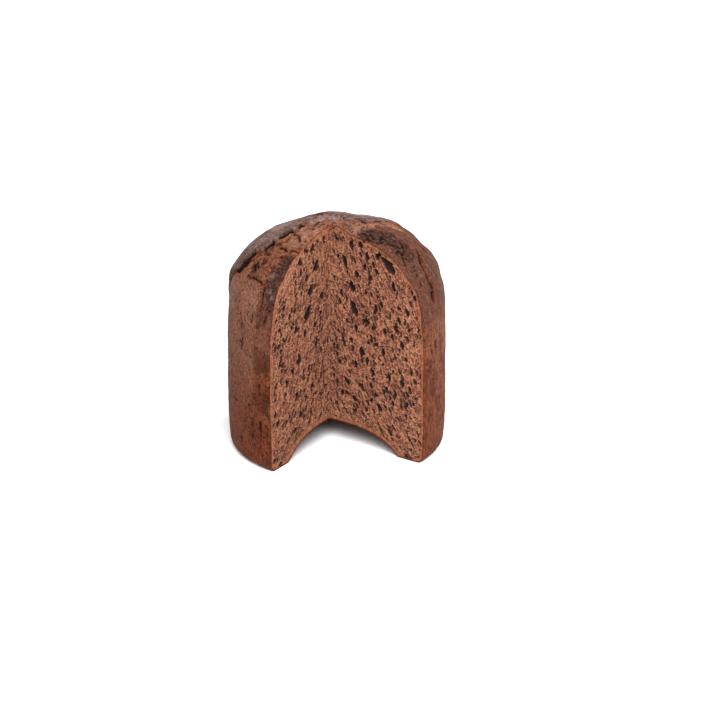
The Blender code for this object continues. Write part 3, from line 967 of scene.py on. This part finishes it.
class Wire:
    """A socket that takes part in sums."""

    __add__ = summed("ADD")
    __sub__ = summed("SUBTRACT")
    __rsub__ = summed("SUBTRACT", swapped=True)
    __mul__ = summed("MULTIPLY")

    def __init__(self, paint, socket):
        self.paint = paint
        self.socket = socket

    def clamped(self):
        """The same value, held between 0 and 1."""
        return self.paint.node("ShaderNodeClamp", {}, {"Value": self})


class Paint:
    """The nodes of one new material."""

    def __init__(self, name):
        self.material = bpy.data.materials.new(name)
        self.material.use_nodes = True
        self.tree = self.material.node_tree
        self.inputs = self.tree.nodes["Principled BSDF"].inputs

    def node(self, kind, settings, feeds, out=0):
        """Add a node: its settings first, then the values or wires of its sockets."""
        made = self.tree.nodes.new(kind)
        for key, value in settings.items():
            setattr(made, key, value)
        for key, value in feeds.items():
            self.feed(made.inputs[key], value)
        return Wire(self, made.outputs[out])

    def feed(self, socket, value):
        """Link a wire to a socket, or set the socket's own value."""
        if isinstance(value, Wire):
            self.tree.links.new(value.socket, socket)
        else:
            socket.default_value = value

    def mixed(self, first, second, share):
        """Blend two colours."""
        return self.node("ShaderNodeMix", {"data_type": "RGBA"}, {0: share, 6: first, 7: second}, 2)

    def grain(self, size, stretch=(1.0, 1.0, 1.0), detail=3.0, rough=0.55):
        """Noise between 0 and 1 whose lumps are about as large as the size in millimetres."""
        spot = self.node("ShaderNodeTexCoord", {}, {}, "Object")
        spot = self.node("ShaderNodeMapping", {}, {"Vector": spot, "Scale": stretch})
        return self.node("ShaderNodeTexNoise", {}, {"Vector": spot, "Scale": 1.0 / (size * MM),
                                                    "Detail": detail, "Roughness": rough})

    def ranged(self, value, low, high, start=0.0, end=1.0):
        """Map a value's range to another, held at both ends."""
        return self.node("ShaderNodeMapRange", {"interpolation_type": "SMOOTHSTEP"},
                         {0: value, 1: low, 2: high, 3: start, 4: end})

    def kept(self, names):
        """The numbers kept at the mesh's points, by their names."""
        return [self.node("ShaderNodeAttribute", {"attribute_name": name}, {}, "Fac")
                for name in names]

    def height(self):
        """Height above the table in metres."""
        spot = self.node("ShaderNodeTexCoord", {}, {}, "Object")
        return self.node("ShaderNodeSeparateXYZ", {}, {0: spot}, 2)

    def dressed(self, colour, rough, sheen, reliefs):
        """Feed the shader. Each relief is a height, its depth in mm and its strength."""
        inputs = {"Base Color": colour, "Roughness": rough, "Specular IOR Level": sheen}
        for height, depth, strength in reliefs:
            feeds = {"Height": height, "Distance": depth * MM, "Strength": strength}
            if "Normal" in inputs:
                feeds["Normal"] = inputs["Normal"]
            inputs["Normal"] = self.node("ShaderNodeBump", {}, feeds)
        for key, value in inputs.items():
            self.feed(self.inputs[key], value)
        return self.material


def crust_paint(looks):
    """Browned crust: grey plate, brown wall, tan torn dough, painted shade in its splits and pits, and
    painted sheen and highlights.
    """
    paint = Paint("baked_crust")
    ranged = paint.ranged
    mixed = paint.mixed
    broad = paint.grain(26.0)
    mottle = paint.grain(9.0, (1.0, 1.0, 0.65), detail=5.0, rough=0.7)
    speckle = paint.grain(1.8, detail=4.0, rough=0.7)
    streak = paint.grain(3.0, (1.0, 1.0, 0.25), detail=4.0, rough=0.6)
    high = paint.height()
    (plate, border, split, tear, torn, knots, cleft, scorch, pit,
     sooty, smear, hollow, speck, crown, mound, top, stain, rim) = paint.kept(CRUST_FINISHES)

    # Wall, with painted sheen high up and on the mound
    colour = mixed(looks.wall_low, looks.wall_high,
                   ranged(high + (mottle - 0.5) * 0.08, 0.01, 0.12))
    mottled = ranged(mottle, 0.47, 0.56) * (0.8 - mound * 0.45) + stain * 0.9
    colour = mixed(colour, looks.wall_dark, mottled.clamped())
    colour = mixed(colour, looks.wall_dark, ranged(streak, 0.53, 0.61) * 0.55)
    colour = mixed(colour, looks.wall_red,
                   ranged(broad, 0.56, 0.46) * ranged(high, 0.12, 0.05) * 0.5)
    # Painted sheen: grey high on the wall and over the smooth mound
    painted_sheen = (ranged(broad, 0.46, 0.58) * ranged(high, 0.07, 0.12) * 0.4
               + mound * ranged(high, 0.03, 0.12, 0.05, 0.55))
    colour = mixed(colour, looks.sheen_and_speck_grey, painted_sheen.clamped())

    # Bare crown with painted highlights, torn dough with painted shade and highlights, and grey plate
    # partly painted sheen
    bare = mixed(looks.bare, looks.wall_dark, ranged(mottle, 0.48, 0.62) * 0.6)
    # Painted highlights in grey along the upright streaks of the bare crown
    bare = mixed(bare, looks.sheen_and_speck_grey, ranged(streak, 0.50, 0.66) * 0.4)
    colour = mixed(colour, bare, crown)
    # Torn dough: painted shade in the creases between the knots and painted highlight on their tops,
    # mixed with random tone
    tan = mixed(looks.torn_dark, looks.torn,
                ranged(knots * 0.8 + speckle + mottle + top * 0.26, 0.98, 1.5))
    paler = (top * 0.62 + ranged(broad, 0.50, 0.62) * 0.3).clamped() * ranged(knots, 0.2, 0.7)
    tan = mixed(tan, looks.torn_light, paler)
    colour = mixed(colour, tan, torn * 0.9)
    # The plate's grey is partly painted sheen of its smooth crust; at the very top, painted sheen greys
    # the torn dough as well
    grey = mixed(looks.plate, looks.plate_dark, ranged(mottle, 0.46, 0.62) * 0.8)
    grey = mixed(grey, looks.plate_brown, border * ranged(streak + mottle, 0.85, 1.15, 0.5, 0.95))
    colour = mixed(colour, grey, (plate + top * torn * ranged(mottle, 0.46, 0.58) * 0.5).clamped())

    # Dark grey and scorched patches, tears, cut rim, and painted shade in every pore, pit and split
    dark_grey_colour = mixed(looks.sooty, looks.plate, ranged(speckle + mottle, 1.06, 1.3) * 0.4)
    colour = mixed(colour, dark_grey_colour, sooty * 0.9)
    # Painted highlights on the dark grey patch, in the plate's grey
    colour = mixed(colour, looks.plate, smear * 0.6)
    # Pitted patch with painted grey highlights between its pits
    scorch_with_highlights = mixed(looks.scorch, looks.plate, ranged(speckle, 0.56, 0.66) * 0.35)
    colour = mixed(colour, scorch_with_highlights, scorch * 0.95)
    colour = mixed(colour, looks.tear, tear * (1.0 - plate) * (0.8 - top * 0.25))
    colour = mixed(colour, looks.rim, rim)
    # Painted shade in the small pores of the crust
    pores = paint.grain(1.5, (1.0, 1.0, 0.7), detail=1.0) + (broad - 0.5) * 0.3
    pores = ranged(pores, 0.385, 0.32)
    colour = mixed(colour, looks.pit, pores * (1.0 - rim) * 0.75)
    # Painted shade in the pits, splits, clefts, creases and the hollow
    painted_recess_shade = pit * 1.1 + split * 1.4 + cleft * 1.2 + hollow * 1.3
    colour = mixed(colour, looks.pit, painted_recess_shade.clamped())
    # Pale specks on the hollow's floor, in the grey of the painted sheen
    colour = mixed(colour, looks.sheen_and_speck_grey, speck * 0.75)
    colour = paint.node("ShaderNodeVectorMath", {"operation": "SCALE"},
                        {0: colour, "Scale": ranged(speckle, 0.32, 0.68, 0.6, 1.42)})
    rough = ranged(speckle, 0.3, 0.7, looks.roughness - 0.1, looks.roughness + 0.1)
    return paint.dressed(colour, rough, CRUST_SHEEN,
                         ((speckle, 0.6, 0.9), (streak, 0.7, 0.5), (pores, -0.6, 0.8)))


def crumb_paint(looks):
    """Open crumb: tan strands, reddish cell walls, and bubbles and open cells darkened with painted
    shade.
    """
    paint = Paint("open_crumb")
    ranged = paint.ranged
    mixed = paint.mixed
    mottle = paint.grain(2.1, (1.0, 0.85, 0.72), detail=4.0, rough=0.62)
    fine = paint.grain(0.95, (1.0, 0.85, 0.85), rough=0.65)
    broad = paint.grain(20.0, detail=2.0)
    dark, red, web, edge = paint.kept(CRUMB_FINISHES)
    colour = mixed(looks.cell, looks.strand,
                   ranged(mottle + (fine - 0.5) * 1.3 + web * 0.12, 0.37, 0.69))
    colour = mixed(colour, looks.strand_light, web * ranged(fine, 0.35, 0.65) * 0.7)
    colour = mixed(colour, looks.red_cell, red * 0.7)
    colour = mixed(colour, looks.edge, edge * ranged(mottle, 0.40, 0.60, 0.9, 0.55))
    colour = mixed(colour, looks.cell, ranged(broad, 0.45, 0.7) * 0.25)
    # Painted shade in the open cells and bubbles: first towards the cell colour, then nearly black
    colour = mixed(colour, looks.cell, ranged(dark, 0.05, 0.55) * 0.42)
    colour = mixed(colour, looks.bubble, ranged(dark, 0.0, 1.06))
    rough = ranged(fine, 0.3, 0.7, looks.roughness - 0.08, looks.roughness + 0.08)
    return paint.dressed(colour, rough, CRUMB_SHEEN, ((fine, 0.35, 0.8), (mottle, 0.7, 0.6)))


def colour_property(name, words, default):
    """A colour that the panel shows."""
    return bpy.props.FloatVectorProperty(name=name, description=words, subtype="COLOR",
                                         size=4, min=0.0, max=1.0, default=(*default, 1.0))


class CrustLooks(bpy.types.PropertyGroup):
    """Colours and sheen of the crust."""

    wall_low: colour_property("Wall, low", "Wall near the base", (0.108, 0.0300, 0.0125))
    wall_high: colour_property("Wall, high", "Wall below the crown", (0.145, 0.0460, 0.0205))
    wall_dark: colour_property("Wall, dark", "Darker mottling of the wall", (0.046, 0.0120, 0.0050))
    wall_red: colour_property("Wall, red", "Redder patches low on the wall",
                              (0.105, 0.0255, 0.0115))
    # Grey of the painted sheen on the wall, the mound and the bare crown's ridges; the hollow's specks
    # take it too
    sheen_and_speck_grey: colour_property("Bloom", "Greyish bloom high on the wall", (0.152, 0.0690, 0.0455))
    bare: colour_property("Bare crown", "Crown where no plate covers it", (0.067, 0.0249, 0.0153))
    torn: colour_property("Torn dough", "Stretched dough beside the splits", (0.140, 0.0495, 0.0265))
    # Painted shade in the creases of the torn dough
    torn_dark: colour_property("Torn dough, dark", "Creases of the torn dough", (0.036, 0.0100, 0.0050))
    # Palest torn dough: paler dough at the top, partly painted highlight on the knots
    torn_light: colour_property("Torn dough, light", "Palest torn dough", (0.230, 0.1000, 0.0590))
    # Plate: grey crust plate, its colour lightened with painted sheen
    plate: colour_property("Plate", "Grey plate of crust", (0.172, 0.1140, 0.0990))
    plate_brown: colour_property("Plate, brown", "Plate beside its torn edge",
                                 (0.080, 0.0415, 0.0330))
    plate_dark: colour_property("Plate, dark", "Darker parts of the plate", (0.070, 0.0370, 0.0300))
    tear: colour_property("Tears", "Red-brown broken edges of the splits", (0.130, 0.0310, 0.0115))
    # A smooth dark grey patch of the crown beside the far cut face
    sooty: colour_property("Sooty patch", "Smooth dark grey patch", (0.038, 0.0155, 0.0108))
    scorch: colour_property("Scorch", "Dark pitted patch", (0.038, 0.0150, 0.0098))
    # Pit colour is painted shade: the near-black inside of pits, pores, splits, clefts and the hollow
    pit: colour_property("Pits", "Inside of pits and splits", (0.006, 0.0030, 0.0020))
    rim: colour_property("Cut rim", "Cut edge of the crust", (0.088, 0.0205, 0.0088))
    roughness: bpy.props.FloatProperty(name="Roughness", description="Roughness of the crust",
                                       default=0.62, min=0.2, max=1.0, subtype="FACTOR")


class CrumbLooks(bpy.types.PropertyGroup):
    """Colours and sheen of the crumb."""

    strand: colour_property("Strands", "Tan strands of the crumb", (0.312, 0.1250, 0.0710))
    strand_light: colour_property("Light strands", "Thin lit strands", (0.395, 0.2180, 0.1270))
    cell: colour_property("Cells", "Walls of the small cells", (0.106, 0.0330, 0.0205))
    red_cell: colour_property("Satin cells", "Smooth reddish cells", (0.118, 0.0375, 0.0265))
    edge: colour_property("Edge", "Dense crumb inside the crust", (0.205, 0.0690, 0.0320))
    # Bubble colour is painted shade: the near-black inside of the bubbles
    bubble: colour_property("Bubbles", "Inside of the bubbles", (0.014, 0.0090, 0.0080))
    roughness: bpy.props.FloatProperty(name="Roughness", description="Roughness of the crumb",
                                       default=0.78, min=0.2, max=1.0, subtype="FACTOR")


class StageLooks(bpy.types.PropertyGroup):
    """Floor and light of the studio."""

    floor: colour_property("Floor", "Plain pale floor", (0.90, 0.90, 0.90))
    sky: bpy.props.FloatProperty(name="Sky", description="Strength of the light from all round",
                                 default=0.75, min=0.0, max=5.0)
    key: bpy.props.FloatProperty(name="Key light", description="Power of the main soft light",
                                 default=30.0, min=0.0, max=500.0, unit="POWER")
    fill: bpy.props.FloatProperty(name="Fill light", description="Power of the second soft light",
                                  default=22.0, min=0.0, max=500.0, unit="POWER")


class PANETTONE_OT_crust(bpy.types.Operator):
    """Build the crust with its splits, and the cut rim"""

    bl_idname = "panettone.crust"
    bl_label = "Crust"

    def execute(self, context):
        shape, lines = build_crust()
        finished("crust", shape, crust_paint(context.scene.panettone_crust))
        for key, line in zip(("near_line", "far_line"), lines):
            context.scene[key] = line.ravel().tolist()
        return {"FINISHED"}


class PANETTONE_OT_crumb(bpy.types.Operator):
    """Build the crumb of the two cut faces"""

    bl_idname = "panettone.crumb"
    bl_label = "Crumb"

    def execute(self, context):
        material = crumb_paint(context.scene.panettone_crumb)
        big = list(BUBBLES)
        far_big = [stretched(bubble) for bubble in BUBBLES]
        faces = (
            ("crumb_near", "near_line", ALONG_NEAR, INTO_NEAR,
             big + scattered_bubbles(big), NEAR_SEED, 1.0),
            ("crumb_far", "far_line", ALONG_FAR, INTO_FAR,
             [b for b in far_big if fits(b)] + scattered_bubbles(far_big), FAR_SEED,
             FAR_WIDENING),
        )
        for name, key, along, into, bubbles, seed, widening in faces:
            line = np.array(list(context.scene[key])).reshape(-1, 3)
            shape = build_crumb(line, along, into, bubbles, seed, widening)
            finished(name, shape, material)
        return {"FINISHED"}


class PANETTONE_OT_stage(bpy.types.Operator):
    """Set the floor, the soft light and the camera"""

    bl_idname = "panettone.stage"
    bl_label = "Stage"

    def execute(self, context):
        looks = context.scene.panettone_stage
        floor_shape = bmesh.new()
        bmesh.ops.create_grid(floor_shape, x_segments=2, y_segments=2, size=FLOOR_REACH)
        mesh = bpy.data.meshes.new("floor")
        floor_shape.to_mesh(mesh)
        floor_shape.free()
        paint = Paint("pale_floor")
        paint.inputs["Base Color"].default_value = looks.floor
        paint.inputs["Roughness"].default_value = 0.9
        mesh.materials.append(paint.material)
        floor = bpy.data.objects.new("floor", mesh)
        context.scene.collection.objects.link(floor)
        floor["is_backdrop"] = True
        world = bpy.data.worlds.new("studio")
        world.use_nodes = True
        sky = world.node_tree.nodes["Background"]
        sky.inputs["Color"].default_value = (1.0, 1.0, 1.0, 1.0)
        sky.inputs["Strength"].default_value = looks.sky
        context.scene.world = world
        for name, place in LAMPS.items():
            soft_light(name, getattr(looks, name), *place)
        context.scene.view_settings.view_transform = "Standard"
        place_camera(context.scene)
        return {"FINISHED"}


def direction(azimuth, elevation):
    """Unit vector from the loaf, azimuth 0 towards -Y and 90 towards +X, in radians."""
    return Vector((math.sin(azimuth) * math.cos(elevation),
                   -math.cos(azimuth) * math.cos(elevation), math.sin(elevation)))


def soft_light(name, power, size, azimuth, elevation, distance):
    """Square lamp that looks at the loaf from a direction in degrees."""
    lamp = bpy.data.lights.new(name, "AREA")
    lamp.energy = power
    lamp.size = size
    lamp_object = bpy.data.objects.new(name, lamp)
    towards = direction(math.radians(azimuth), math.radians(elevation))
    middle = Vector((0.0, 0.0, 0.5 * HEIGHT))
    lamp_object.location = middle + towards * distance
    lamp_object.rotation_euler = towards.to_track_quat("Z", "Y").to_euler()
    bpy.context.scene.collection.objects.link(lamp_object)


def place_camera(scene):
    """Camera at the photograph's viewing angle."""
    back = direction(CAMERA_AZIMUTH, CAMERA_ELEVATION)
    right = Vector((math.cos(CAMERA_AZIMUTH), math.sin(CAMERA_AZIMUTH), 0.0))
    above = back.cross(right)
    aim = Vector((0.0, 0.0, AIM_HEIGHT)) + right * AIM_RIGHT - above * AIM_DOWN
    data = bpy.data.cameras.new("camera")
    data.sensor_width = 36.0
    data.lens = CAMERA_LENS
    data.clip_end = 50.0
    camera = bpy.data.objects.new("camera", data)
    turn = Matrix((right, above, back)).transposed()
    camera.matrix_world = Matrix.Translation(aim + back * CAMERA_DISTANCE) @ turn.to_4x4()
    scene.collection.objects.link(camera)
    scene.camera = camera


class PANETTONE_PT_panel(bpy.types.Panel):
    """Buttons and colours in the sidebar"""

    bl_idname = "PANETTONE_PT_panel"
    bl_label = "Panettone"
    bl_space_type = "VIEW_3D"
    bl_region_type = "UI"
    bl_category = "Panettone"

    def draw(self, context):
        for operator in OPERATORS:
            self.layout.operator(operator.bl_idname)
        for group, key in GROUPS:
            box = self.layout.box()
            for item in group.__annotations__:
                box.prop(getattr(context.scene, key), item)


OPERATORS = (PANETTONE_OT_crust, PANETTONE_OT_crumb, PANETTONE_OT_stage)
GROUPS = (
    (CrustLooks, "panettone_crust"),
    (CrumbLooks, "panettone_crumb"),
    (StageLooks, "panettone_stage"),
)


def register():
    """Add the classes and the scene's settings to Blender."""
    for group, key in GROUPS:
        bpy.utils.register_class(group)
        setattr(bpy.types.Scene, key, bpy.props.PointerProperty(type=group))
    for item in (*OPERATORS, PANETTONE_PT_panel):
        bpy.utils.register_class(item)


def unregister():
    """Take them out again."""
    for item in (PANETTONE_PT_panel, *reversed(OPERATORS)):
        bpy.utils.unregister_class(item)
    for group, key in reversed(GROUPS):
        delattr(bpy.types.Scene, key)
        bpy.utils.unregister_class(group)


def main():
    """Build everything and work out the two boxes."""
    register()
    bpy.ops.panettone.crust()
    bpy.ops.panettone.crumb()
    bpy.ops.panettone.stage()
    boxes = {"cad": CAD_BOX, "visual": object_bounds()}
    plain = {key: [list(corner) for corner in box] for key, box in boxes.items()}


if __name__ == "__main__":
    main()
